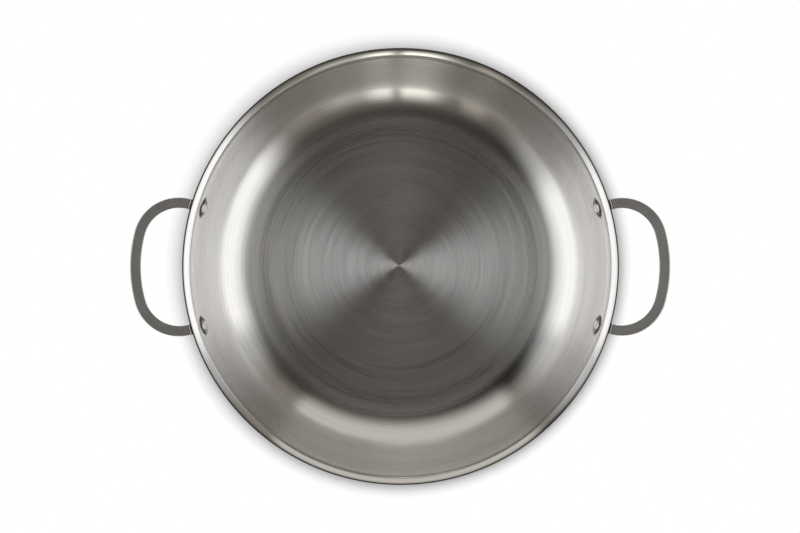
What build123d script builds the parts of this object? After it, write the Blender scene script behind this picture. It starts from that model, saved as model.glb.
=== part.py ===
from build123d import *
import os
from math import acos, asin, atan2, cos, degrees, radians, sin, sqrt, tan

# Shallow three-ply casserole pan with two riveted loop handles.
# Millimetres. The origin is the middle of the flat base, +Z is up and the handles lie along X.

# Pan body, measured on the inside
cooking_radius = 150.0          # wall at its top, just under the flare: a 30 cm pan
overall_height = 70.0           # base to the top of the rim
corner_radius = 42.0            # sweep from floor to wall
wall_draft = 7.0                # degrees that the wall leans outward
flare_radius = 6.6              # turn from the wall into the pouring rim
flare_rise = 5.0                # degrees of the rim's edge above level
flare_length = 0.8              # straight part of the rim
edge_round = 0.4                # on both corners of the cut edge

# The three plies
inner_ply = 0.5
core_ply = 1.5
outer_ply = 0.5
core_setback = 0.6              # the core stops short, and the inner steel closes the edge

# Rivets, two to a handle
rivet_spacing = 85.0            # between the two rivets of one handle
rivet_drop = 12.5               # rim top down to the rivet, on the inside of the wall
shank_diameter = 5.0
shank_clearance = 0.05          # round the shank, in the wall and in the handle
head_diameter = 13.2
head_height = 1.5
head_edge = 0.45                # height of the head's rim off the wall
crown_diameter = 6.4            # the highest ring of the head
dish_depth = 0.45               # the middle of the head, below its crown
tail_diameter = 7.0             # riveted end, sunk flush in the handle's foot
tail_depth = 1.2

# Loop handles, in plan
finger_gap = 29.8               # clear of the rim, at the middle of the grip
grip_bow_radius = 95.0
grip_corner_radius = 29.0
bar_width = 7.4

# Loop handles, in side view
bar_thickness = 5.0
grip_drop = 1.5                 # rim top down to the top of the grip
neck_drop = 4.8                 # rim top down to the top of the neck, which passes under the rim
step_gap = 2.0                  # outside the rim, where the grip's top starts to step down
step_angle = 70.0               # degrees that the step is steep
step_crest = 1.2                # radius at the top of the step
step_hollow = 1.5               # radius at its foot
underside_start = 5.0           # outside the rim, where the grip's underside starts to fall
underside_fall = 2.8            # from the grip down to the neck
underside_radius = 6.0
top_bevel = 0.5
underside_round = 1.9
level_share = 0.2               # a face is a top or an underside when its normal is this upright

# Feet of the handles, on the wall
foot_width = 20.0
foot_height = 13.0
foot_thickness = 4.5
foot_round = 1.0

# Worked out from the above
sheet = inner_ply + core_ply + outer_ply
flare_turn = 90 - wall_draft - flare_rise


def polar(length, angle):
    """A vector of this length at this many degrees in the profile's plane."""
    return Vector(length * cos(radians(angle)), length * sin(radians(angle)))


# Profile of the inside surface, as points (radius, height)
flare_end_height = overall_height - edge_round * (1 - cos(radians(flare_rise)))
flare_climb = polar(flare_length - edge_round, flare_rise).Y + flare_radius * (
    cos(radians(flare_rise)) - sin(radians(wall_draft))
)
wall_top = Vector(cooking_radius, flare_end_height - flare_climb)
wall_foot_height = sheet + corner_radius * (1 - sin(radians(wall_draft)))
wall_length = (wall_top.Y - wall_foot_height) / cos(radians(wall_draft))
wall_foot = wall_top - polar(wall_length, 90 - wall_draft)
floor_radius = wall_foot.X - corner_radius * cos(radians(wall_draft))

# The rim is cut square to the sheet, and its corners are rounded
seam_depth = inner_ply + core_ply
flare_centre = wall_top + polar(flare_radius, -wall_draft)
edge_top = flare_centre + polar(flare_radius, 90 + flare_rise) + polar(flare_length, flare_rise)
edge_foot = edge_top + polar(sheet, flare_rise - 90)
rim_radius = edge_foot.X + edge_round * (1 - cos(radians(flare_rise)) - sin(radians(flare_rise)))

# Seats of the rivets on the inside of the wall
rivet_height = overall_height - rivet_drop
rivet_seat_radius = wall_top.X - (wall_top.Y - rivet_height) * tan(radians(wall_draft))
rivet_angle = degrees(asin(rivet_spacing / 2 / rivet_seat_radius))
foot_face = sheet + foot_thickness


def sheet_line(depth, flare_run):
    """Draw the pan's line this deep in the sheet, and return its two ends."""
    floor = Line((0, sheet - depth), (floor_radius, sheet - depth))
    corner = JernArc(floor @ 1, floor % 1, corner_radius + depth, 90 - wall_draft)
    wall = PolarLine(corner @ 1, wall_length, direction=corner % 1)
    turn = JernArc(wall @ 1, wall % 1, flare_radius - depth, -flare_turn)
    flare = PolarLine(turn @ 1, flare_run, direction=turn % 1)
    return floor @ 0, flare @ 1


def rivet_plane(angle):
    """The rivet's plane: its origin on the inside of the wall, its Z outward through the wall."""
    seat = Vector(rivet_seat_radius, 0, rivet_height).rotate(Axis.Z, angle)
    outward = Vector(cos(radians(wall_draft)), 0, -sin(radians(wall_draft))).rotate(Axis.Z, angle)
    along = Vector(0, 1, 0).rotate(Axis.Z, angle)
    return Plane(origin=seat, x_dir=along, z_dir=outward)


rivet_places = {
    "right_rear": rivet_plane(rivet_angle),
    "right_front": rivet_plane(-rivet_angle),
    "left_rear": rivet_plane(180 - rivet_angle),
    "left_front": rivet_plane(180 + rivet_angle),
}


def bore_for_rivets():
    """Cut the four shank holes through the piece being built."""
    with Locations(*rivet_places.values()):
        Cylinder(shank_diameter / 2 + shank_clearance, 2 * foot_face, mode=Mode.SUBTRACT)


# Inner steel: the cooking surface, closed over the rim's edge
with BuildPart() as inner_steel:
    with BuildSketch(Plane.XZ):
        with BuildLine():
            near_start, near_end = sheet_line(0, flare_length - edge_round)
            edge = JernArc(near_end, polar(1, flare_rise), edge_round, -90)
            closing = PolarLine(edge @ 1, seam_depth - edge_round, direction=edge % 1)
            far_start, far_end = sheet_line(inner_ply, flare_length - core_setback)
            Polyline(closing @ 1, closing @ 1 - polar(core_setback, flare_rise), far_end)
            Line(near_start, far_start)
        make_face()
    revolve(axis=Axis.Z)
    bore_for_rivets()
inner_steel.part.label = "inner_steel"

# Aluminium core between the steels
with BuildPart() as aluminium_core:
    with BuildSketch(Plane.XZ):
        with BuildLine():
            near_start, near_end = sheet_line(inner_ply, flare_length - core_setback)
            far_start, far_end = sheet_line(seam_depth, flare_length - core_setback)
            Line(near_end, far_end)
            Line(near_start, far_start)
        make_face()
    revolve(axis=Axis.Z)
    bore_for_rivets()
aluminium_core.part.label = "aluminium_core"

# Outer steel: base, outside wall and underside of the rim
with BuildPart() as outer_steel:
    with BuildSketch(Plane.XZ):
        with BuildLine():
            near_start, near_end = sheet_line(seam_depth, flare_length)
            edge = PolarLine(near_end, outer_ply - edge_round, flare_rise - 90)
            JernArc(edge @ 1, edge % 1, edge_round, -90)
            far_start, far_end = sheet_line(sheet, flare_length - edge_round)
            Line(near_start, far_start)
        make_face()
    revolve(axis=Axis.Z)
    bore_for_rivets()
outer_steel.part.label = "outer_steel"

# The space that the sheet's outside surface encloses, which the handles' feet are fitted to
with BuildPart() as outside_form:
    with BuildSketch(Plane.XZ):
        with BuildLine():
            base_start, base_end = sheet_line(sheet, flare_length)
            Polyline(base_end, edge_top, (0, edge_top.Y), base_start)
        make_face()
    revolve(axis=Axis.Z)

# The space inside the pan, which the rivet heads are fitted to
with BuildPart() as inside_form:
    with BuildSketch(Plane.XZ):
        with BuildLine():
            bowl_start, bowl_end = sheet_line(0, flare_length)
            Polyline(bowl_end, (0, bowl_end.Y), bowl_start)
        make_face()
    revolve(axis=Axis.Z)

# Plan of the grip: a bowed middle, round corners, and roots that point at the pan's axis
handle_reach = rim_radius + finger_gap + bar_width / 2
bow_centre = handle_reach - grip_bow_radius
corner_offset = grip_corner_radius - bow_centre * sin(radians(rivet_angle))
root_radius = bow_centre * cos(radians(rivet_angle)) + sqrt(
    (grip_bow_radius - grip_corner_radius) ** 2 - corner_offset**2
)
corner_centre = polar(root_radius, rivet_angle) + polar(grip_corner_radius, rivet_angle - 90)
bow_angle = degrees(atan2(corner_centre.Y, corner_centre.X - bow_centre))
corner_turn = 90 + rivet_angle - bow_angle
root_length = root_radius - rivet_seat_radius

# Section of the bar across the rim: a step in its top, and a gentler one in its underside
grip_top = overall_height - grip_drop
neck_top = overall_height - neck_drop
step_rounds = (step_crest + step_hollow) * (1 - cos(radians(step_angle)))
step_length = (grip_top - neck_top - step_rounds) / sin(radians(step_angle))
underside_angle = degrees(acos(1 - underside_fall / 2 / underside_radius))
level_reach = handle_reach + bar_width


def top_line():
    """Draw the bar's top from its outer end to the pan's axis, and return its two ends."""
    level = Line((level_reach, grip_top), (rim_radius + step_gap, grip_top))
    crest = JernArc(level @ 1, level % 1, step_crest, step_angle)
    step = PolarLine(crest @ 1, step_length, direction=crest % 1)
    hollow = JernArc(step @ 1, step % 1, step_hollow, -step_angle)
    Line(hollow @ 1, (0, neck_top))
    return level @ 0, Vector(0, neck_top)


def underside_line():
    """Draw the bar's underside from its outer end to the pan's axis, and return its two ends."""
    height = grip_top - bar_thickness
    level = Line((level_reach, height), (rim_radius + underside_start, height))
    crest = JernArc(level @ 1, level % 1, underside_radius, underside_angle)
    hollow = JernArc(crest @ 1, crest % 1, underside_radius, -underside_angle)
    Line(hollow @ 1, (0, height - underside_fall))
    return level @ 0, Vector(0, height - underside_fall)


def plan_line(offset):
    """Draw half of the loop's plan, this far outside its middle line, and return its two ends."""
    bow = JernArc((handle_reach + offset, 0), (0, 1), grip_bow_radius + offset, bow_angle)
    corner = JernArc(bow @ 1, bow % 1, grip_corner_radius + offset, corner_turn)
    root = PolarLine(corner @ 1, root_length, direction=corner % 1)
    return bow @ 0, root @ 1


def outline(faces):
    """The edges that belong to only one of these faces."""
    edges = faces.edges()
    return [edge for edge in edges if sum(edge.is_same(other) for other in edges) == 1]


# The bar is where its plan meets its section turned round the pan's axis
with BuildPart() as bar:
    with BuildSketch(Plane.XY):
        with BuildLine():
            outer_start, outer_end = plan_line(bar_width / 2)
            inner_start, inner_end = plan_line(-bar_width / 2)
            Line(outer_end, inner_end)
            mirror(about=Plane.XZ)
        make_face()
    extrude(amount=overall_height)
    with BuildSketch(Plane.XZ):
        with BuildLine():
            top_start, top_end = top_line()
            under_start, under_end = underside_line()
            Line(top_start, under_start)
            Line(top_end, under_end)
        make_face()
    revolve(axis=Axis.Z, mode=Mode.INTERSECT)
    tops = bar.faces().filter_by(lambda face: face.normal_at().Z > level_share)
    chamfer(outline(tops), length=top_bevel)
    undersides = bar.faces().filter_by(lambda face: face.normal_at().Z < -level_share)
    fillet(outline(undersides), radius=underside_round)

# An oval foot, with its Z outward through the wall as in the rivets' planes
with BuildPart() as foot:
    with BuildSketch():
        Ellipse(foot_width / 2, foot_height / 2)
    extrude(amount=foot_face)
    fillet(foot.edges().group_by(Axis.Z)[-1], radius=foot_round)

# A handle is its bar on two feet, fitted to the wall and bored for the rivets
right_places = [rivet_places["right_rear"], rivet_places["right_front"]]
with BuildPart() as right_handle:
    add(bar.part)
    with Locations(*right_places):
        add(foot.part)
    add(outside_form.part, mode=Mode.SUBTRACT)
    with Locations(*[place.offset(foot_face) for place in right_places]):
        CounterBoreHole(
            radius=shank_diameter / 2 + shank_clearance,
            counter_bore_radius=tail_diameter / 2,
            counter_bore_depth=tail_depth,
            depth=foot_face,
        )
right_handle.part.label = "right_handle"

with BuildPart() as left_handle:
    add(right_handle.part, rotation=(0, 0, 180))
left_handle.part.label = "left_handle"

# A rivet's head, with its Z outward through the wall: a domed ring round a sunk middle
with BuildPart() as rivet_head:
    with BuildSketch(Plane.XZ):
        with BuildLine():
            head_middle = (0, dish_depth - head_height)
            crown = (crown_diameter / 2, -head_height)
            head_rim = (head_diameter / 2, -head_edge)
            Spline(head_middle, crown, tangents=[(1, 0), (1, 0)])
            TangentArc(crown, head_rim, tangent=(1, 0))
            Polyline(head_rim, (head_diameter / 2, sheet), (0, sheet), head_middle)
        make_face()
    revolve(axis=Axis.Z)

# Its shank, and the end that is set flush in the foot
with BuildPart() as rivet_shank:
    with BuildSketch(Plane.XY.offset(-head_edge)):
        Circle(shank_diameter / 2)
    extrude(amount=head_edge + foot_face)
    with BuildSketch(Plane.XY.offset(foot_face)):
        Circle(tail_diameter / 2)
    extrude(amount=-tail_depth)

rivets = {}
for place_name, place in rivet_places.items():
    with BuildPart() as rivet:
        with Locations(place):
            add(rivet_head.part)
        add(inside_form.part, mode=Mode.INTERSECT)
        with Locations(place):
            add(rivet_shank.part)
    rivet.part.label = f"rivet_{place_name}"
    rivets[place_name] = rivet

os.makedirs("parts", exist_ok=True)
pieces = [inner_steel, aluminium_core, outer_steel, right_handle, left_handle, *rivets.values()]
for piece in pieces:
    export_step(piece.part, f"parts/{piece.part.label}.step")
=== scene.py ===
"""A shallow three-ply casserole pan with riveted loop handles, seen from above on a white floor."""
import math

import bpy
import numpy as np
from mathutils import Matrix, Vector


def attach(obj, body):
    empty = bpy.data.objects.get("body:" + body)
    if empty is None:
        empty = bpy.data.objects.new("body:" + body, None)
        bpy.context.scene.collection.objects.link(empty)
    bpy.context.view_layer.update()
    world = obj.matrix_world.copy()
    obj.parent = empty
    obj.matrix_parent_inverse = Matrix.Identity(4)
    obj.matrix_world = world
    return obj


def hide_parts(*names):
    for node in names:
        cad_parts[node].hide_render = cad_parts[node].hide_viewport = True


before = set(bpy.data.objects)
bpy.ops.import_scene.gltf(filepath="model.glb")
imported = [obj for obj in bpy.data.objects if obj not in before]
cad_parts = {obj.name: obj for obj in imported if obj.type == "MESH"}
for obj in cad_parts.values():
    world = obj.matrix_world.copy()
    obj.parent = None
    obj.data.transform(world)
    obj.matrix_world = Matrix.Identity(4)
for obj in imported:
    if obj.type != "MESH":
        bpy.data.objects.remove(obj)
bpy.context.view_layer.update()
scene = bpy.context.scene

MM = 0.001
RIGHT = math.pi / 2

# The sheet, as it is spun and cut
HEIGHT = 70 * MM
RIM_RADIUS = 156.956 * MM
CORNER_RADIUS = 42 * MM
WALL_DRAFT = math.radians(7)
FLARE_RISE = math.radians(24)
FLARE_LENGTH = 0.8 * MM
EDGE_ROUND = 0.4 * MM
INNER_PLY = 0.5 * MM
SEAM_DEPTH = 2.0 * MM
SHEET = 2.5 * MM
CORE_SETBACK = 0.6 * MM

# Rivets
RIVET_SPACING = 85 * MM
RIVET_DROP = 12.5 * MM
RIVET_SEAT = 149.178 * MM
SHANK_RADIUS = 2.5 * MM
SHANK_CLEARANCE = 0.05 * MM
HEAD_RADIUS = 6.6 * MM
HEAD_HEIGHT = 2.1 * MM
HEAD_EDGE = 0.45 * MM
CROWN_RADIUS = 3.2 * MM
DISH_DEPTH = 0.45 * MM
TAIL_RADIUS = 3.5 * MM
TAIL_DEPTH = 1.2 * MM
FINE_ROUND = 0.12 * MM

# Loop handles
FINGER_GAP = 29.8 * MM
BOW_RADIUS = 95 * MM
GRIP_CORNER = 29 * MM
BAR_WIDTH = 7.4 * MM
BAR_THICKNESS = 5 * MM
GRIP_DROP = 1.5 * MM
NECK_DROP = 4.8 * MM
STEP_GAP = 1.7 * MM
STEP_ANGLE = math.radians(70)
STEP_CREST = 2.2 * MM
STEP_HOLLOW = 1.5 * MM
UNDERSIDE_START = 5 * MM
UNDERSIDE_FALL = 2.8 * MM
UNDERSIDE_RADIUS = 6 * MM
OUTER_EDGE = 0.8 * MM
INNER_EDGE = 0.3 * MM
UNDERSIDE_ROUND = 1.9 * MM
FOOT_WIDTH = 20 * MM
FOOT_HEIGHT = 13 * MM
FOOT_THICKNESS = 4.5 * MM
FOOT_ROUND = 1 * MM
COVE_SIDE = 2 * MM
COVE_UNDER = 0.5 * MM


# Flat outlines
def polar(length, angle):
    """A flat vector of this length at this angle."""
    return np.array([length * math.cos(angle), length * math.sin(angle)])


def arc(centre, radius, start, end, steps):
    """Points evenly spaced on a circle's arc, from one angle to the other."""
    turn = np.linspace(start, end, steps)
    return np.column_stack([centre[0] + radius * np.cos(turn), centre[1] + radius * np.sin(turn)])


def straight(start, end, steps):
    """Points evenly spaced from one point to another."""
    share = np.linspace(0, 1, steps)[:, None]
    return np.asarray(start) * (1 - share) + np.asarray(end) * share


# Places on the sheet, worked out from the rim's top down. The wall passes through the rivets' seats, and
# the flare's arc touches the wall and the lip.
RIVET_HEIGHT = HEIGHT - RIVET_DROP
RIVET_ANGLE = math.asin(RIVET_SPACING / 2 / RIVET_SEAT)
ROUND_GAIN = EDGE_ROUND * (math.cos(FLARE_RISE) + math.sin(FLARE_RISE) - 1)
EDGE_TOP = np.array([RIM_RADIUS - SHEET * math.sin(FLARE_RISE) + ROUND_GAIN, HEIGHT + ROUND_GAIN])
FLARE_END = EDGE_TOP - polar(FLARE_LENGTH, FLARE_RISE)
WALL_OUTWARD = polar(1, -WALL_DRAFT)
FLARE_REACH = (FLARE_END - (RIVET_SEAT, RIVET_HEIGHT)) @ WALL_OUTWARD
FLARE_RADIUS = FLARE_REACH / (1 - math.sin(FLARE_RISE + WALL_DRAFT))
FLARE_CENTRE = FLARE_END - polar(FLARE_RADIUS, RIGHT + FLARE_RISE)
WALL_TOP = FLARE_CENTRE - FLARE_RADIUS * WALL_OUTWARD
WALL_FOOT_HEIGHT = SHEET + CORNER_RADIUS * (1 - math.sin(WALL_DRAFT))
WALL_FOOT = WALL_TOP - polar((WALL_TOP[1] - WALL_FOOT_HEIGHT) / math.cos(WALL_DRAFT), RIGHT - WALL_DRAFT)
FLOOR_RADIUS = WALL_FOOT[0] - CORNER_RADIUS * math.cos(WALL_DRAFT)
CORNER_CENTRE = np.array([FLOOR_RADIUS, SHEET + CORNER_RADIUS])
EDGE_FOOT = EDGE_TOP + polar(SHEET, FLARE_RISE - RIGHT)
FOOT_FACE = SHEET + FOOT_THICKNESS

# Steps along the floor, the corner, the wall, the flare and the lip
LINE_STEPS = np.array([24, 76, 20, 36, 3])
PAN_STEPS = 360
RIVET_STEPS = 64
BORE_STEPS = 48
FOOT_STEPS = 72
COARSE = 0.3


def sheet_line(depth, flare_run, fineness=1.0):
    """The sheet's line this deep below its inside surface, from the pan's axis out to the rim: a flat
    floor, the corner's arc, the leaning wall, the flare's arc and the straight lip."""
    steps = (LINE_STEPS * fineness).astype(int) + 2
    wall_start = WALL_FOOT + depth * WALL_OUTWARD
    wall_end = WALL_TOP + depth * WALL_OUTWARD
    flare_end = FLARE_CENTRE + polar(FLARE_RADIUS - depth, RIGHT + FLARE_RISE)
    return np.vstack([
        straight((0, SHEET - depth), (FLOOR_RADIUS, SHEET - depth), steps[0])[:-1],
        arc(CORNER_CENTRE, CORNER_RADIUS + depth, -RIGHT, -WALL_DRAFT, steps[1])[:-1],
        straight(wall_start, wall_end, steps[2])[:-1],
        arc(FLARE_CENTRE, FLARE_RADIUS - depth, math.pi - WALL_DRAFT, RIGHT + FLARE_RISE, steps[3])[:-1],
        straight(flare_end, flare_end + polar(flare_run, FLARE_RISE), steps[4]),
    ])


def wall_radius(height, depth):
    """How far the sheet's line at this depth is from the pan's axis, at heights on the wall and flare."""
    line = sheet_line(depth, 0)
    upright = line[(line[:, 0] > FLOOR_RADIUS) & (line[:, 0] < RIM_RADIUS)]
    return np.interp(height, upright[:, 1], upright[:, 0])


SHARP_ANGLE = math.radians(40)


# Surfaces
def skin(rows, poles=None):
    """Points and faces over a grid of closed loops, an array of (rows, steps, 3). Each loop is joined to
    the next. With two poles the end loops close on them, and without poles the last loop joins the first.
    A face looks the way of the rows' direction crossed with the loops' direction."""
    count, steps = rows.shape[:2]
    index = np.arange(count * steps).reshape(count, steps)
    if poles is None:
        index = np.vstack([index, index[:1]])
    after = np.roll(index, -1, axis=1)
    quads = np.stack([index[:-1], index[1:], after[1:], after[:-1]], axis=-1).reshape(-1, 4)
    points = rows.reshape(-1, 3)
    faces = quads.tolist()
    if poles is not None:
        first = np.full(steps, len(points))
        faces += np.column_stack([first, index[0], after[0]]).tolist()
        faces += np.column_stack([first + 1, after[-1], index[-1]]).tolist()
        points = np.vstack([points, poles])
    return points, faces


def turned(profile, steps):
    """A profile of (radius, height) points turned round the Z axis: point (r, h) goes to
    (r cos t, r sin t, h) at turn t. Its two ends lie on the axis and become the poles."""
    turn = np.linspace(0, 2 * math.pi, steps, endpoint=False)
    radius = profile[1:-1, 0][:, None]
    height = np.broadcast_to(profile[1:-1, 1][:, None], (len(radius), steps))
    rows = np.stack([radius * np.cos(turn), radius * np.sin(turn), height], axis=-1)
    return skin(rows, [[0, 0, profile[0][1]], [0, 0, profile[-1][1]]])


def make_piece(name, shells, finish, node, fields=None):
    """A mesh object of one or more closed shells, which stands for a node and rides with the pan.
    Fields are named values at its points, which its finish reads."""
    points = np.vstack([shell[0] for shell in shells])
    faces = []
    offset = 0
    for shell_points, shell_faces in shells:
        faces += [[corner + offset for corner in face] for face in shell_faces]
        offset += len(shell_points)
    mesh = bpy.data.meshes.new(name)
    mesh.from_pydata(points.tolist(), [], faces)
    for field_name, values in (fields or {}).items():
        kind = "FLOAT" if values.ndim == 1 else "FLOAT_VECTOR"
        key = "value" if values.ndim == 1 else "vector"
        mesh.attributes.new(field_name, kind, "POINT").data.foreach_set(key, values.ravel())
    mesh.shade_smooth()
    mesh.set_sharp_from_angle(angle=SHARP_ANGLE)
    mesh.materials.append(finish)
    piece = bpy.data.objects.new(name, mesh)
    scene.collection.objects.link(piece)
    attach(piece, "root")
    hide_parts(node)
    return piece


# Shader expressions
class Socket:
    """A node's output, with the operators that the finishes use."""

    def __init__(self, tree, output):
        self.tree = tree
        self.output = output

    def maths(self, operation, *others):
        """This number and others put through a Math node."""
        node = self.tree.nodes.new("ShaderNodeMath")
        node.operation = operation
        for slot, value in zip(node.inputs, (self, *others)):
            feed(self.tree, slot, value)
        return Socket(self.tree, node.outputs[0])

    def __add__(self, other):
        return self.maths("ADD", other)

    def __sub__(self, other):
        return self.maths("SUBTRACT", other)

    def __mul__(self, other):
        return self.maths("MULTIPLY", other)

    def __truediv__(self, other):
        return self.maths("DIVIDE", other)

    def __rsub__(self, other):
        return self * -1.0 + other

    __radd__ = __add__
    __rmul__ = __mul__

    def clamp(self, lowest=0.0):
        return self.maths("MAXIMUM", lowest).maths("MINIMUM", 1.0)

    def rise(self, start, end):
        """0 up to start and 1 from end on, with a smooth step between."""
        share = ((self - start) / (end - start)).clamp()
        return share * share * (3.0 - share * 2.0)


def feed(tree, slot, value):
    """Link a socket, or set a plain value."""
    if isinstance(value, Socket):
        tree.links.new(value.output, slot)
    else:
        slot.default_value = value


class Shader:
    """One node tree, emptied, with a method for any node."""

    def __init__(self, tree):
        self.tree = tree
        tree.nodes.clear()

    def node(self, kind, settings=None, sockets=None, output=0):
        """Add a node with its settings and its sockets' values or links, and give one of its outputs."""
        made = self.tree.nodes.new("ShaderNode" + kind)
        for key, value in (settings or {}).items():
            setattr(made, key, value)
        for key, value in (sockets or {}).items():
            feed(self.tree, made.inputs[key], value)
        return Socket(self.tree, made.outputs[output]) if made.outputs else None

    def parts(self, vector):
        """The three parts of a vector."""
        split = self.node("SeparateXYZ", None, {0: vector})
        return [Socket(self.tree, output) for output in split.output.node.outputs]

    def scaled(self, vector, factor):
        """A colour or vector times a number."""
        return self.node("VectorMath", {"operation": "SCALE"}, {"Vector": vector, "Scale": factor})

    def grain(self, x, y, z):
        """Noise from -0.5 to 0.5 at a place given by three numbers, one unit to a lump."""
        place = self.node("CombineXYZ", None, {0: x, 1: y, 2: z})
        noise = {"Vector": place, "Scale": 1.0, "Detail": 2.0, "Roughness": 0.6}
        return self.node("TexNoise", None, noise) - 0.5


def new_finish(name):
    """A material, its emptied shader and a function that closes it with a metal surface."""
    material = bpy.data.materials.new(name)
    material.use_nodes = True
    shader = Shader(material.node_tree)

    def metal(sockets):
        surface = shader.node("BsdfPrincipled", None, {"Metallic": 1.0, **sockets})
        shader.node("OutputMaterial", None, {"Surface": surface})

    return material, shader, metal


def relief(shader, height, distance):
    """A normal that follows a height, at this many metres to a unit."""
    return shader.node("Bump", None, {"Strength": 1.0, "Distance": distance, "Height": height})


# Finishes: how deep each one's relief is, in metres, how the cut edge and the brushing are, with the cut
# edge's colour darkened as a painted dark reflection, where the painted shade ring round a rivet ends, in
# head radii, and how dark the painted shade is on the forged sides and on the rivets' darkened parts
BRUSHED_RELIEF = 3e-6
FORGED_RELIEF = 4e-6
PRESSED_RELIEF = 2e-5
MILL_RELIEF = 5e-6
CUT_START = (EDGE_TOP[0] - EDGE_ROUND) / MM
CUT_PAINTED_SHADE = 0.87
CUT_ROUGHNESS = 0.6
BRUSHING = 0.95
QUARTER_TURN = 0.25
SHADE_RING_START = 1.04
SHADE_RING_END = 1.3
SIDE_PAINTED_SHADE = 0.5
HEAD_PAINTED_SHADE = 0.88
END_PAINTED_SHADE = 0.75
SHOULDER_ROUGHNESS = 0.25

# The brushing's fine, medium and broad grains: lumps round the pan, lumps to a millimetre along the
# profile, the grain's own place in the noise and its share of the rings
BRUSH_GRAINS = [(1.6, 1.5, 0.0, 0.5), (1.0, 0.45, 70.0, 0.35), (0.7, 0.11, 150.0, 0.25)]


def round_brushed(name, colour, zones, spread, rivet_ring_shade):
    """Steel brushed in circles round the pan's axis. The rings are arcs of some length, finer and broader
    ones together, and they show in its colour, its gloss and a slight relief. Each zone says between which
    two radii, in millimetres, the brushing changes to its roughness. The cut edge is rougher, and its
    colour is darkened as a painted dark reflection. A ring round each rivet's head is darkened by so much:
    painted shade round the head."""
    material, shader, metal = new_finish(name)
    x, y, z = shader.parts(shader.node("TexCoord", output="Object"))
    radius = (x * x + y * y).maths("SQRT")
    along_profile = (radius + z) / MM
    side = x / radius
    ahead = y / radius
    grains = []
    rings = 0.0
    for round_lumps, profile_lumps, own_place, share in BRUSH_GRAINS:
        place = along_profile * profile_lumps + own_place
        grain = shader.grain(side * round_lumps, ahead * round_lumps, place)
        grains.append(grain)
        rings = grain * share + rings
    roughness = 0.0
    last_level = 0.0
    for start, end, level in zones:
        roughness = (radius / MM).rise(start, end) * (level - last_level) + roughness
        last_level = level
    # The cut edge is rougher, and its colour is darkened: a painted dark reflection.
    cut_edge = (radius / MM).rise(CUT_START, CUT_START + 0.1)
    off_x = x.maths("ABSOLUTE") - RIVET_SEAT * math.cos(RIVET_ANGLE)
    off_y = y.maths("ABSOLUTE") - RIVET_SEAT * math.sin(RIVET_ANGLE)
    off_z = z - RIVET_HEIGHT
    from_rivet = (off_x * off_x + off_y * off_y + off_z * off_z).maths("SQRT") / HEAD_RADIUS
    # A ring of painted shade round each rivet's head, darkening the wall's colour.
    ring = (1.0 - from_rivet.rise(SHADE_RING_START, SHADE_RING_END)) * rivet_ring_shade
    shade = (1.0 + rings * spread) * (1.0 - cut_edge * CUT_PAINTED_SHADE) * (1.0 - ring)
    metal({
        "Base Color": shader.scaled(colour, shade),
        "Roughness": roughness * (1.0 + rings * spread * 1.5) + cut_edge * CUT_ROUGHNESS,
        "Anisotropic": BRUSHING,
        "Anisotropic Rotation": QUARTER_TURN,
        "Normal": relief(shader, grains[0] + grains[1], BRUSHED_RELIEF),
    })
    return material


def satin_forging(name, colour, roughness, bright, smooth, dull):
    """Satin steel with long fine streaks along the bar, and worn, brighter edges. The field lay holds each
    point's place along, across and up the bar, in millimetres. The field edge is 1 on the rounded edges,
    and the field side is 1 on the sides and underside, which are rougher and duller, with their colour
    darkened as painted shade."""
    material, shader, metal = new_finish(name)
    along, across, up = shader.parts(shader.node("Attribute", {"attribute_name": "lay"}, output="Vector"))
    edge = shader.node("Attribute", {"attribute_name": "edge"}, output="Fac")
    side = shader.node("Attribute", {"attribute_name": "side"}, output="Fac")
    streaks = shader.grain(along * 0.05, across * 3.0, up * 3.0)
    patches = shader.grain(along * 0.11 + 40.0, across * 0.3, up * 0.3)
    wear = (edge + patches * 0.6).rise(0.35, 0.9)
    worn = shader.node("Mix", {"data_type": "RGBA"}, {0: wear, 6: colour, 7: bright}, 2)
    tone = 1.0 + streaks * 0.18 + patches * 0.12
    uneven = streaks * 0.10 + patches * 0.05
    metal({
        # The sides and underside are darkened in colour: painted shade.
        "Base Color": shader.scaled(worn, tone * (1.0 - side * SIDE_PAINTED_SHADE)),
        "Roughness": roughness + wear * (smooth - roughness) + side * dull + uneven,
        "Normal": relief(shader, streaks, FORGED_RELIEF),
    })
    return material


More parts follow.
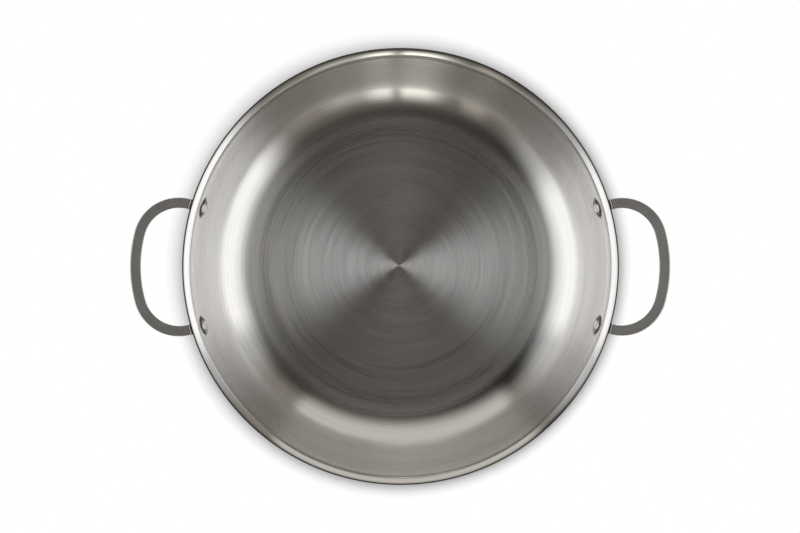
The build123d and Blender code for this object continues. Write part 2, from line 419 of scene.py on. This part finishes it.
def pressed_steel(name, colour, roughness):
    """Rivet steel, polished by the setting tool on the crown and in the dish, with faint turned rings and
    shallow dents. Its colour is darkened at the head's two ends as a painted dark reflection, and under the
    crown and at the head's edge as painted shade. It is rougher on the shoulder between. The field lay
    holds each point's place across, up and through the rivet, in millimetres, with the head on the side
    where through is below 0."""
    material, shader, metal = new_finish(name)
    across, up, through = shader.parts(shader.node("Attribute", {"attribute_name": "lay"}, output="Vector"))
    out = (across * across + up * up).maths("SQRT")
    rings = shader.grain(out * 5.0, through * 5.0, 3.0)
    dents = shader.grain(across * 0.7, up * 0.7, through * 0.7 + 9.0)
    crown = CROWN_RADIUS / MM
    head = HEAD_RADIUS / MM
    # Painted dark reflection at the head's two ends, and painted shade under the crown and at the head's
    # edge, all darkening the colour.
    ends = (across.maths("ABSOLUTE") + dents * 3.0).rise(crown - 0.8, crown + 0.4) * END_PAINTED_SHADE
    crown_edge = out.rise(crown - 0.9, crown - 0.5) - out.rise(crown, crown + 0.4)
    crown_shade = crown_edge * (1.0 - up.rise(-1.0, 0.5))
    shoulder = out.rise(crown, crown + 0.6) - out.rise(head - 1.4, head - 0.9)
    rim = out.rise(head - 0.7, head - 0.3)
    on_head = 1.0 - through.rise(-0.3, 0.0)
    dark = (ends + crown_shade + rim).clamp() * on_head * HEAD_PAINTED_SHADE
    uneven = roughness * (1.0 + rings * 0.5 + dents * 0.6)
    metal({
        "Base Color": shader.scaled(colour, (1.0 + rings * 0.10 + dents * 0.12) * (1.0 - dark)),
        "Roughness": uneven + dark * 0.12 + shoulder * SHOULDER_ROUGHNESS,
        "Normal": relief(shader, dents + rings * 0.2, PRESSED_RELIEF),
    })
    return material


def mill_aluminium(name, colour, roughness):
    """Rolled aluminium with fine straight lines from the mill, and a soft mottle."""
    material, shader, metal = new_finish(name)
    x, y, z = shader.parts(shader.node("TexCoord", output="Object"))
    lines = shader.grain(x / MM * 0.05, y / MM * 1.4, z / MM * 1.4)
    mottle = shader.grain(x / MM * 0.08, y / MM * 0.08, z / MM * 0.08 + 5.0)
    metal({
        "Base Color": shader.scaled(colour, 1.0 + lines * 0.12 + mottle * 0.10),
        "Roughness": roughness + lines * 0.12 + mottle * 0.08,
        "Normal": relief(shader, lines, MILL_RELIEF),
    })
    return material


# Roughness from the middle of the pan outward: from where, to where and to what it changes
COOKING_ZONES = [
    (-2.0, -1.0, 0.33), (73.0, 78.0, 0.30), (95.0, 100.0, 0.27), (104.0, 107.0, 0.32), (109.0, 117.0, 0.12),
    (129.0, 139.0, 0.26), (149.4, 150.0, 0.07),
]
OUTSIDE_ZONES = [(-2.0, -1.0, 0.30), (103.0, 109.0, 0.22)]
cooking_steel = round_brushed(
    "cooking_steel", (0.945, 0.937, 0.922), COOKING_ZONES, spread=0.5, rivet_ring_shade=0.7,
)
outer_steel = round_brushed("outer_steel", (0.68, 0.672, 0.66), OUTSIDE_ZONES, spread=0.5, rivet_ring_shade=0.0)
core_aluminium = mill_aluminium("core_aluminium", (0.72, 0.72, 0.73), 0.38)
handle_steel = satin_forging(
    "handle_steel", (0.86, 0.845, 0.82, 1), roughness=0.35,
    bright=(0.90, 0.89, 0.87, 1), smooth=0.20, dull=0.3,
)
rivet_steel = pressed_steel("rivet_steel", (0.95, 0.94, 0.92), roughness=0.14)


# The sheet's two steel skins and the core between them
def edge_corner(place, depth_side, start):
    """The round on one corner of the cut edge, on the side of the sheet that faces up or down."""
    centre = place - polar(EDGE_ROUND, FLARE_RISE) + polar(EDGE_ROUND, FLARE_RISE + depth_side * RIGHT)
    return arc(centre, EDGE_ROUND, start, start - RIGHT, 9)


seam = EDGE_TOP + polar(SEAM_DEPTH, FLARE_RISE - RIGHT)
inner_profile = np.vstack([
    sheet_line(0, FLARE_LENGTH - EDGE_ROUND)[:-1],
    edge_corner(EDGE_TOP, -1, FLARE_RISE + RIGHT),
    [seam, seam - polar(CORE_SETBACK, FLARE_RISE)],
    sheet_line(INNER_PLY, FLARE_LENGTH - CORE_SETBACK, COARSE)[::-1],
])
outer_profile = np.vstack([
    sheet_line(SEAM_DEPTH, FLARE_LENGTH, COARSE),
    edge_corner(EDGE_FOOT, 1, FLARE_RISE),
    sheet_line(SHEET, FLARE_LENGTH - EDGE_ROUND)[:-1][::-1],
])
core_profile = np.vstack([
    sheet_line(INNER_PLY, FLARE_LENGTH - CORE_SETBACK, COARSE),
    sheet_line(SEAM_DEPTH, FLARE_LENGTH - CORE_SETBACK, COARSE)[::-1],
])


def rivet_frame(angle):
    """A rivet's seat on the inside of the wall, and its directions along, up and out through the wall."""
    round_axis = np.array([math.cos(angle), math.sin(angle), 0])
    along = np.array([-math.sin(angle), math.cos(angle), 0])
    upward = np.array([0, 0, 1.0])
    outward = round_axis * math.cos(WALL_DRAFT) - upward * math.sin(WALL_DRAFT)
    seat = round_axis * RIVET_SEAT + upward * RIVET_HEIGHT
    return seat, np.array([along, np.cross(outward, along), outward])


RIVET_PLACES = {
    "right_rear": rivet_frame(RIVET_ANGLE),
    "right_front": rivet_frame(-RIVET_ANGLE),
    "left_rear": rivet_frame(math.pi - RIVET_ANGLE),
    "left_front": rivet_frame(math.pi + RIVET_ANGLE),
}


def placed(points, place):
    """Points of (along, up, out) put where a rivet's frame says."""
    seat, directions = place
    return seat + points @ directions


def laid_on_wall(points, place, depth, chosen):
    """Points of (along, up, out), with the chosen ones slid in or out until they lie on the sheet's line at
    this depth. Each pass moves a point by its distance from that line."""
    points = points.copy()
    for _ in range(4):
        world = placed(points, place)
        away = np.hypot(world[..., 0], world[..., 1]) - wall_radius(world[..., 2], depth)
        points[..., 2] -= np.where(chosen, away * math.cos(WALL_DRAFT), 0)
    return points


def bored(piece):
    """Cut the four shank holes through a ply of the sheet."""
    shells = []
    radius = SHANK_RADIUS + SHANK_CLEARANCE
    depth = 2 * SHEET
    for place in RIVET_PLACES.values():
        drill = np.array([[0, depth], [radius, depth], [radius, -depth], [0, -depth]])
        points, faces = turned(drill, BORE_STEPS)
        shells.append((placed(points, place), faces))
    cutter = bpy.data.objects.new("drill", bpy.data.meshes.new("drill"))
    points = np.vstack([shell[0] for shell in shells])
    count = len(shells[0][0])
    faces = []
    for number, shell in enumerate(shells):
        faces += [[corner + number * count for corner in face] for face in shell[1]]
    cutter.data.from_pydata(points.tolist(), [], faces)
    scene.collection.objects.link(cutter)
    cut = piece.modifiers.new("shank_holes", "BOOLEAN")
    cut.object = cutter
    cut.operation = "DIFFERENCE"
    cut.solver = "EXACT"
    mesh = bpy.data.meshes.new_from_object(piece.evaluated_get(bpy.context.evaluated_depsgraph_get()))
    piece.modifiers.clear()
    piece.data = mesh
    bpy.data.objects.remove(cutter)


PLIES = [
    ("cooking_skin", inner_profile, cooking_steel, "inner_steel", "cooking_steel"),
    ("outside_skin", outer_profile, outer_steel, "outer_steel", "outer_steel"),
    ("core_sheet", core_profile, core_aluminium, "aluminium_core", "core_aluminium"),
]
for name, profile, finish, node, slot in PLIES:
    bored(make_piece(name, [turned(profile, PAN_STEPS)], finish, node))

# Rivets. The dome's arc starts this far inside the head's edge, in radians, which rounds the edge a little.
DOME_EASE = 0.02


def rivet_outline():
    """Half of a rivet's outline as (radius, distance out through the wall), from the middle of its flush
    tail round to the middle of its head, and which points lie on the wall. The head is a dish whose depth
    falls with a cosine to the crown, then an arc that is level at the crown and reaches the head's edge."""
    crown_fall = HEAD_HEIGHT - HEAD_EDGE
    shoulder = HEAD_RADIUS - CROWN_RADIUS
    dome_radius = (shoulder ** 2 + crown_fall ** 2) / (2 * crown_fall)
    dome_angle = math.asin(shoulder / dome_radius)
    dome_centre = (CROWN_RADIUS, dome_radius - HEAD_HEIGHT)
    dish = np.linspace(CROWN_RADIUS, 0, 16)[1:]
    dish_level = DISH_DEPTH * (1 + np.cos(math.pi * dish / CROWN_RADIUS)) / 2 - HEAD_HEIGHT
    tail_back = FOOT_FACE - TAIL_DEPTH
    outline = [
        straight((0, FOOT_FACE), (TAIL_RADIUS - FINE_ROUND, FOOT_FACE), 6)[:-1],
        arc((TAIL_RADIUS - FINE_ROUND, FOOT_FACE - FINE_ROUND), FINE_ROUND, RIGHT, 0, 5),
        [(TAIL_RADIUS, tail_back), (SHANK_RADIUS, tail_back)],
        straight((SHANK_RADIUS, 0), (HEAD_RADIUS, 0), 6),
        [(HEAD_RADIUS, -HEAD_EDGE + FINE_ROUND)],
        arc(dome_centre, dome_radius, dome_angle - RIGHT - DOME_EASE, -RIGHT, 14),
        np.column_stack([dish, dish_level]),
    ]
    on_wall = [np.full(len(part), number == 3) for number, part in enumerate(outline)]
    return np.vstack(outline), np.concatenate(on_wall)


def make_rivet(place_name, place):
    """The rivet's outline turned round its own axis, with the back of its head laid on the wall."""
    outline, on_wall = rivet_outline()
    points, faces = turned(outline, RIVET_STEPS)
    chosen = np.concatenate([np.repeat(on_wall[1:-1], RIVET_STEPS), [False, False]])
    points = laid_on_wall(points, place, 0, chosen)
    make_piece(
        "set_rivet_" + place_name, [(placed(points, place), faces)], rivet_steel,
        "rivet_" + place_name, {"lay": points / MM},
    )


for place_name, place in RIVET_PLACES.items():
    make_rivet(place_name, place)

# The loop's middle line in plan, and its section across the rim
HANDLE_REACH = RIM_RADIUS + FINGER_GAP + BAR_WIDTH / 2
BOW_CENTRE = HANDLE_REACH - BOW_RADIUS
CORNER_OFFSET = GRIP_CORNER - BOW_CENTRE * math.sin(RIVET_ANGLE)
CORNER_REACH = math.sqrt((BOW_RADIUS - GRIP_CORNER) ** 2 - CORNER_OFFSET ** 2)
ROOT_RADIUS = BOW_CENTRE * math.cos(RIVET_ANGLE) + CORNER_REACH
CORNER_PLACE = polar(ROOT_RADIUS, RIVET_ANGLE) + polar(GRIP_CORNER, RIVET_ANGLE - RIGHT)
BOW_ANGLE = math.atan2(CORNER_PLACE[1], CORNER_PLACE[0] - BOW_CENTRE)
ROOT_ANGLE = RIGHT + RIVET_ANGLE
GRIP_TOP = HEIGHT - GRIP_DROP
NECK_TOP = HEIGHT - NECK_DROP
GRIP_UNDER = GRIP_TOP - BAR_THICKNESS
STEP_START = RIM_RADIUS + STEP_GAP
FINE_CORNER = 3.2 * MM
FINE_NECK = 2.2 * MM
NECK_END = 0.2 * MM


def bar_top(radius):
    """The height of the bar's top at a distance from the pan's axis: level on the grip, then round a crest,
    down a steep step and round a hollow to the neck."""
    slope_height = GRIP_TOP - NECK_TOP - (STEP_CREST + STEP_HOLLOW) * (1 - math.cos(STEP_ANGLE))
    crest = arc((STEP_START, GRIP_TOP - STEP_CREST), STEP_CREST, RIGHT, RIGHT + STEP_ANGLE, 24)
    slope_end = crest[-1] - np.array([slope_height / math.tan(STEP_ANGLE), slope_height])
    hollow_centre = slope_end + polar(STEP_HOLLOW, RIGHT + STEP_ANGLE)
    hollow = arc(hollow_centre, STEP_HOLLOW, STEP_ANGLE - RIGHT, -RIGHT, 24)
    line = np.vstack([crest, hollow])[::-1]
    return np.interp(radius, line[:, 0], line[:, 1])


def bar_underside(radius):
    """The height of the bar's underside at a distance from the pan's axis: level under the grip, then an
    S of two equal arcs down to the neck."""
    turn = math.acos(1 - UNDERSIDE_FALL / 2 / UNDERSIDE_RADIUS)
    start = RIM_RADIUS + UNDERSIDE_START
    crest = arc((start, GRIP_UNDER - UNDERSIDE_RADIUS), UNDERSIDE_RADIUS, RIGHT, RIGHT + turn, 16)
    hollow_centre = crest[-1] + polar(UNDERSIDE_RADIUS, RIGHT + turn)
    hollow = arc(hollow_centre, UNDERSIDE_RADIUS, turn - RIGHT, -RIGHT, 16)
    line = np.vstack([crest, hollow])[::-1]
    return np.interp(radius, line[:, 0], line[:, 1])


def loop_stations():
    """Places along the whole loop from its rear root to its front root: points of the middle line, the
    directions outward across it, and the distance along it. They are closer together at the step."""
    bow = np.linspace(0, BOW_ANGLE, 22)[:-1]
    step_turn = FINE_CORNER / GRIP_CORNER
    corner = np.concatenate([
        np.linspace(BOW_ANGLE, ROOT_ANGLE - step_turn, 62)[:-1],
        np.linspace(ROOT_ANGLE - step_turn, ROOT_ANGLE, 26)[:-1],
    ])
    neck_radius = wall_radius(np.array([GRIP_UNDER - UNDERSIDE_FALL, NECK_TOP]), SHEET)
    root = np.concatenate([
        np.linspace(ROOT_RADIUS, ROOT_RADIUS - FINE_NECK, 18)[:-1],
        np.linspace(ROOT_RADIUS - FINE_NECK, neck_radius.max() + NECK_END, 9),
        [neck_radius.min()],
    ])
    turn = np.concatenate([bow, corner, np.full(len(root), ROOT_ANGLE)])
    across = np.column_stack([np.cos(turn), np.sin(turn)])
    middle = np.vstack([
        (BOW_CENTRE, 0) + BOW_RADIUS * across[:len(bow)],
        CORNER_PLACE + GRIP_CORNER * across[len(bow):len(bow) + len(corner)],
        root[:, None] * polar(1, RIVET_ANGLE),
    ])
    mirror = np.array([1, -1])
    middle = np.vstack([middle[::-1], middle[1:] * mirror])
    across = np.vstack([across[::-1], across[1:] * mirror])
    length = np.concatenate([[0], np.cumsum(np.linalg.norm(np.diff(middle, axis=0), axis=1))])
    return middle, across, length


def bar_section():
    """The bar's outline, from the inner edge of its top outward and round: how far across each point is, if
    its height is taken from the top, how far in from the top or underside it is, if it is on an edge, and
    how far it is turned to the side, from 0 on the top to 1."""
    half = BAR_WIDTH / 2
    corners = (
        (1, OUTER_EDGE, True, RIGHT, 0, 9),
        (1, UNDERSIDE_ROUND, False, 0, RIGHT, 11),
        (-1, UNDERSIDE_ROUND, False, RIGHT, 0, 11),
        (-1, INNER_EDGE, True, 0, RIGHT, 7),
    )
    columns = []
    for side, radius, from_top, start, end, steps in corners:
        turn = np.linspace(start, end, steps)
        columns.append(np.column_stack([
            side * (half - radius + radius * np.cos(turn)),
            np.full(steps, from_top),
            radius * (1 - np.sin(turn)),
            np.full(steps, from_top),
            np.cos(turn) if from_top else np.ones(steps),
        ]))
    support = 0.25 * MM
    top = np.linspace(-half + INNER_EDGE + support, half - OUTER_EDGE - support, 7)
    on_top = np.zeros(len(top))
    under = np.linspace(half - UNDERSIDE_ROUND - support, -half + UNDERSIDE_ROUND + support, 4)
    below = np.zeros(len(under))
    far_side = [[half, 1, OUTER_EDGE + support, 0, 1], [half, 0, UNDERSIDE_ROUND + support, 0, 1]]
    near_side = [[-half, 0, UNDERSIDE_ROUND + support, 0, 1], [-half, 1, INNER_EDGE + support, 0, 1]]
    section = np.vstack([
        np.column_stack([top, on_top + 1, on_top, on_top, on_top]),
        columns[0],
        far_side,
        columns[1],
        np.column_stack([under, below, below, below, below + 1]),
        columns[2],
        near_side,
        columns[3],
    ])
    return section[:, 0], section[:, 1] > 0.5, section[:, 2], section[:, 3], section[:, 4]


def foot_distance(points, place):
    """How far points are from an oval foot: the way out past its face and the way out past its outline,
    taken together as two sides of a right angle."""
    seat, directions = place
    local = (points - seat) @ directions.T
    oval = np.hypot(local[..., 0] / (FOOT_WIDTH / 2), local[..., 1] / (FOOT_HEIGHT / 2))
    beyond = np.maximum(1 - 1 / np.maximum(oval, 1), 0) * np.hypot(local[..., 0], local[..., 1])
    return np.hypot(np.maximum(local[..., 2] - FOOT_FACE, 0), beyond)


def cove(distance, radius):
    """How far a hollow quarter round of this radius stands out at a distance from where it ends."""
    inside = np.clip(radius - distance, 0, radius)
    return radius - np.sqrt(radius ** 2 - inside ** 2)


def loop_bar():
    """The bar as its section carried along the loop. A point's height is from the top or underside line at
    the point's own distance from the pan's axis, so the step stays parallel to the rim. Near a foot the
    section swells by a quarter round. The end loops lie on the outside of the wall."""
    middle, outward, length = loop_stations()
    across, from_top, inset, edge, side = bar_section()

    def heights(flat):
        radius = np.hypot(flat[..., 0], flat[..., 1])
        return np.where(from_top, bar_top(radius) - inset, bar_underside(radius) + inset)

    flat = middle[:, None, :] + across[None, :, None] * outward[:, None, :]
    height = heights(flat)
    rows = np.concatenate([flat, height[..., None]], axis=-1)
    near = np.minimum(*[foot_distance(rows, RIVET_PLACES[name]) for name in ("right_rear", "right_front")])
    wider = across[None, :] * (1 + cove(near, COVE_SIDE) / (BAR_WIDTH / 2))
    flat = middle[:, None, :] + wider[..., None] * outward[:, None, :]
    height = heights(flat) - np.where(from_top, 0, cove(near, COVE_UNDER))
    rows = np.concatenate([flat, height[..., None]], axis=-1)
    for end in (0, -1):
        ring = rows[end]
        ring[:, :2] *= (wall_radius(ring[:, 2], SHEET) / np.hypot(ring[:, 0], ring[:, 1]))[:, None]
    poles = rows[[0, -1]].mean(axis=1)
    poles[:, :2] *= (wall_radius(poles[:, 2], SHEET) / np.hypot(poles[:, 0], poles[:, 1]))[:, None]
    lay = np.stack(np.broadcast_arrays(length[:, None], wider, height), axis=-1)
    lay = np.vstack([lay.reshape(-1, 3), lay[[0, -1]].mean(axis=1)])
    # The step's crest counts as an edge, so it takes the edges' brighter colour and smoother finish:
    # polish, and partly a painted highlight.
    on_crest = np.hypot(rows[..., 0], rows[..., 1]) < STEP_START + 0.15 * MM
    edges = np.where(from_top & on_crest, 1, edge).ravel()
    sides = np.tile(side, len(rows))
    fields = {"lay": lay / MM, "edge": np.append(edges, [0, 0]), "side": np.append(sides, [0, 0])}
    return skin(rows, poles), fields


def loop_foot(place):
    """An oval foot as closed loops, each an ellipse with two half widths and a distance out: up the bore,
    over the recess for the rivet's tail, across the face to the rounded edge, down the side and back along
    the wall to the bore."""
    bore = SHANK_RADIUS + SHANK_CLEARANCE
    recess = TAIL_RADIUS + SHANK_CLEARANCE
    wide = FOOT_WIDTH / 2
    high = FOOT_HEIGHT / 2
    turn = np.linspace(0, RIGHT, 10)
    inner_face = (recess, recess, FOOT_FACE)
    outer_face = (wide - FOOT_ROUND, high - FOOT_ROUND, FOOT_FACE)
    parts = [
        np.array([(bore, bore, SHEET)]),
        np.array([(bore, bore, FOOT_FACE - TAIL_DEPTH), (recess, recess, FOOT_FACE - TAIL_DEPTH)]),
        straight(inner_face, outer_face, 6)[:-1],
        np.column_stack([
            wide - FOOT_ROUND + FOOT_ROUND * np.sin(turn),
            high - FOOT_ROUND + FOOT_ROUND * np.sin(turn),
            FOOT_FACE - FOOT_ROUND + FOOT_ROUND * np.cos(turn),
        ]),
        straight((wide, high, SHEET), (bore, bore, SHEET), 6)[:-1],
    ]
    loops = np.vstack(parts)
    part = np.repeat(["bore", "recess", "face", "edge", "back"], [len(rows) for rows in parts])
    on_wall = (part == "bore") | (part == "back")
    edge = (part == "edge").astype(float)
    angle = np.linspace(0, 2 * math.pi, FOOT_STEPS, endpoint=False)
    rows = np.stack([
        loops[:, 0][:, None] * np.cos(angle),
        loops[:, 1][:, None] * np.sin(angle),
        np.broadcast_to(loops[:, 2][:, None], (len(loops), FOOT_STEPS)),
    ], axis=-1)
    rows = laid_on_wall(rows, place, SHEET, on_wall[:, None])
    edges = np.repeat(edge[::-1], FOOT_STEPS)
    fields = {"lay": rows[::-1].reshape(-1, 3) / MM, "edge": edges, "side": np.zeros(len(edges))}
    return skin(placed(rows, place)[::-1]), fields


def half_turn(shell):
    """A shell turned half round the pan's axis."""
    return shell[0] * np.array([-1, -1, 1]), shell[1]


handle_shells = [loop_bar()] + [loop_foot(RIVET_PLACES[name]) for name in ("right_rear", "right_front")]
right_shells = [shell for shell, fields in handle_shells]
handle_fields = {
    field_name: np.concatenate([fields[field_name] for shell, fields in handle_shells])
    for field_name in ("lay", "edge", "side")
}
make_piece("right_loop", right_shells, handle_steel, "right_handle", handle_fields)
left_shells = [half_turn(shell) for shell in right_shells]
make_piece("left_loop", left_shells, handle_steel, "left_handle", handle_fields)

# Studio: a dark ceiling, a faint glow near the horizon, and lit panels on all four sides. Angles are in
# degrees, and an azimuth is counted from the right, against the clock.
world = bpy.data.worlds.new("studio")
scene.world = world
world.use_nodes = True
sky = Shader(world.node_tree)
ahead_x, ahead_y, ahead_z = sky.parts(sky.node("TexCoord", output="Generated"))
azimuth = ahead_y.maths("ARCTAN2", ahead_x) * (180 / math.pi)
elevation = ahead_z.maths("ARCSINE") * (180 / math.pi)
WARM = (1.0, 0.91, 0.80)
CREAM = (1.0, 0.963, 0.888)
NEUTRAL = (1.0, 0.993, 0.985)
DROOP = 0.005
CEILING_LEVEL = 0.040
GLOW_LEVEL = 0.13
HORIZON_LEVEL = 0.17

# Each panel's sides, the widths of their soft edges, its top, the width of its soft edge, its level and its
# tint, with a panel in front of those above it
PANELS = [
    ((22, 142), (16, 16), 50, 44, 0.21, WARM),
    ((52, 129), (6, 8), 55, 42, 0.52, CREAM),
    ((52, 129), (6, 8), 9, 22, 0.24, CREAM),
    ((242.5, 250.5), (6, 4), 30, 44, 0.38, WARM),
    ((256, 295), (6, 10), 27, 44, 0.48, CREAM),
    ((260.5, 270.8), (8, 3), 27, 44, 1.3, CREAM),
    ((273.8, 281), (3, 8), 27, 44, 1.2, CREAM),
    ((150, 216), (26, 30), 75, 26, 0.23, NEUTRAL),
    ((141, 224), (22, 30), 56, 44, 0.50, NEUTRAL),
    ((157.5, 211), (13, 16), 57, 48, 1.02, NEUTRAL),
    ((-42, 24), (28, 24), 74, 26, 0.17, NEUTRAL),
    ((-20, 33), (10, 18), 55, 44, 0.44, NEUTRAL),
    ((-41, 20.5), (20, 13), 57, 50, 1.02, NEUTRAL),
]


def hung(view, sides, soft, top, top_soft, level, tint):
    """The view with a lit panel in front of it. Its sides are azimuths and its top is an elevation, each
    with the width of its soft edge. The top is lower away from the panel's middle, by the square of the
    turn from it."""
    half = (sides[1] - sides[0]) / 2
    turn = (azimuth - (sides[0] + half) + 540.0).maths("FLOORED_MODULO", 360.0) - 180.0
    begun = turn.rise(-half - soft[0] / 2, -half + soft[0] / 2)
    ended = turn.rise(half - soft[1] / 2, half + soft[1] / 2)
    above = (elevation + turn * turn * DROOP).rise(top - top_soft / 2, top + top_soft / 2)
    cover = (begun - ended) * (1.0 - above)
    colour = [level * part for part in tint] + [1]
    return sky.node("Mix", {"data_type": "RGBA"}, {0: cover, 6: view, 7: colour}, 2)


ceiling = (1.0 + ahead_x * 1.2 - ahead_y * 0.8).maths("MAXIMUM", 0.4) * CEILING_LEVEL
glow = (1.0 - elevation.rise(18.0, 60.0)) * GLOW_LEVEL
horizon = (1.0 - elevation.rise(0.0, 14.0)) * HORIZON_LEVEL
light = sky.scaled(WARM, ceiling + glow + horizon)
for sides, soft, top, top_soft, level, tint in PANELS:
    light = hung(light, sides, soft, top, top_soft, level, tint)
studio = sky.node("Background", None, {"Color": light})
white = sky.node("Background", None, {"Color": (1, 1, 1, 1)})
seen = sky.node("LightPath", output="Is Camera Ray")
sky.node("OutputWorld", None, {"Surface": sky.node("MixShader", None, {0: seen, 1: studio, 2: white})})

# Floor: plain white to the eye and in reflections, with the pan's close shadow. The lean makes the shadow
# deeper to the right of the pan and in front of it.
FLOOR_HALF = 3.0
SHADOW_REACH = 40 * MM
SHADOW_LEAN = (-0.17, 0.14, 1.0)
SHADOW_START = 1.6
SHADOW_DEPTH = 9.0
DARKEST = 0.12
floor_mesh = bpy.data.meshes.new("floor")
corners = [(x * FLOOR_HALF, y * FLOOR_HALF, 0) for x, y in ((-1, -1), (1, -1), (1, 1), (-1, 1))]
floor_mesh.from_pydata(corners, [], [(0, 1, 2, 3)])
floor = bpy.data.objects.new("floor", floor_mesh)
scene.collection.objects.link(floor)
floor_white = bpy.data.materials.new("floor_white")
floor_white.use_nodes = True
paper = Shader(floor_white.node_tree)
leaning = paper.node("CombineXYZ", None, dict(enumerate(SHADOW_LEAN)))
openness = paper.node("AmbientOcclusion", {"samples": 16}, {"Distance": SHADOW_REACH, "Normal": leaning}, 1)
shade = (1.0 - (1.0 - openness).maths("POWER", SHADOW_START) * SHADOW_DEPTH).clamp(DARKEST)
lit = paper.node("Emission", None, {"Color": paper.scaled((1.0, 1.0, 1.0), shade)})
matt = paper.node("BsdfDiffuse", None, {"Color": (0.8, 0.8, 0.8, 1)})
camera_ray = paper.node("LightPath", output="Is Camera Ray")
glossy_ray = paper.node("LightPath", output="Is Glossy Ray")
transmission_ray = paper.node("LightPath", output="Is Transmission Ray")
shown = (camera_ray + glossy_ray + transmission_ray).clamp()
paper.node("OutputMaterial", None, {"Surface": paper.node("MixShader", None, {0: shown, 1: matt, 2: lit})})
floor_mesh.materials.append(floor_white)

# Camera, almost straight above the pan
DISTANCE = 1.25
PIXEL = 0.7168 * MM
IMAGE_WIDTH = 800
SENSOR_WIDTH = 36
AIM = Vector((-0.87 * MM, 0.34 * MM, HEIGHT))
CAMERA_OFFSET = Vector((-30 * MM, 22 * MM, DISTANCE))
camera_data = bpy.data.cameras.new("camera")
camera = bpy.data.objects.new("camera", camera_data)
scene.collection.objects.link(camera)
scene.camera = camera
camera_data.sensor_width = SENSOR_WIDTH
camera_data.lens = SENSOR_WIDTH * DISTANCE / (IMAGE_WIDTH * PIXEL)
camera.location = AIM + CAMERA_OFFSET
back = CAMERA_OFFSET.normalized()
side = Vector((0, 1, 0)).cross(back).normalized()
camera.rotation_euler = Matrix((side, back.cross(side), back)).transposed().to_euler()

scene.view_settings.view_transform = "Standard"
